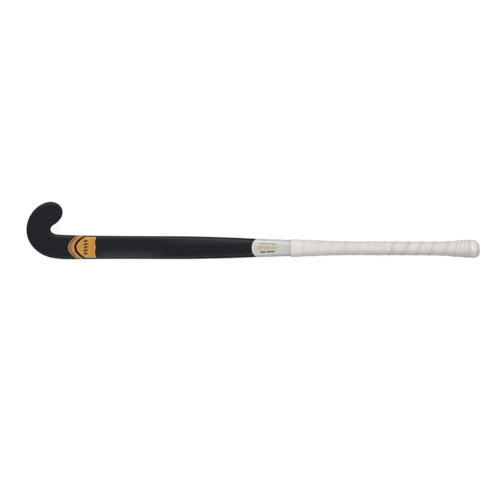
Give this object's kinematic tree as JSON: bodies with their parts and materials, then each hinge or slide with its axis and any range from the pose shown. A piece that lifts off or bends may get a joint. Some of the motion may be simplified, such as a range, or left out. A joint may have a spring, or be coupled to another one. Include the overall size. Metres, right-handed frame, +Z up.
{
  "type": "field hockey stick",
  "caption": "Field hockey stick with a hooked head, flat playing face, gentle bow, tapered handle, spiral-wound grip tape and flared butt.",
  "frame": {"origin": "under the middle of the stick's box, on the surface that it lies on, back down and playing face up", "axes": "+X from the head to the butt, +Y towards the side that the toe curls to, +Z up, out of the playing face"},
  "size_m": [0.927, 0.1182, 0.0585],
  "materials": {
    "lacquer_black": "matt lacquer over carbon laminate",
    "orange_film": "satin printed film",
    "silver_film": "satin silver-grey film",
    "white_tape": "off-white synthetic grip tape",
    "white_rubber": "off-white rubber",
    "woven_laminate": "bare braided carbon and resin",
    "yellow_aramid": "aramid cloth in resin",
    "core_foam": "rigid foam",
    "soft_foam": "soft closed-cell foam",
    "plug_plastic": "moulded plastic"
  },
  "bodies": {
    "root": {"laminate_shell": "lacquer_black", "head_core": "core_foam", "face_ply": "yellow_aramid", "inner_tube_toe_side": "woven_laminate", "inner_tube_heel_side": "woven_laminate", "handle_foam_toe_side": "soft_foam", "handle_foam_heel_side": "soft_foam", "butt_plug": "plug_plastic", "butt_cap": "white_rubber", "cushion_sleeve": "soft_foam", "grip_tape": "white_tape", "finishing_band": "white_tape", "handle_label": "silver_film", "crescent_decal": "orange_film", "shield_decal": "orange_film"}
  },
  "joints": []
}
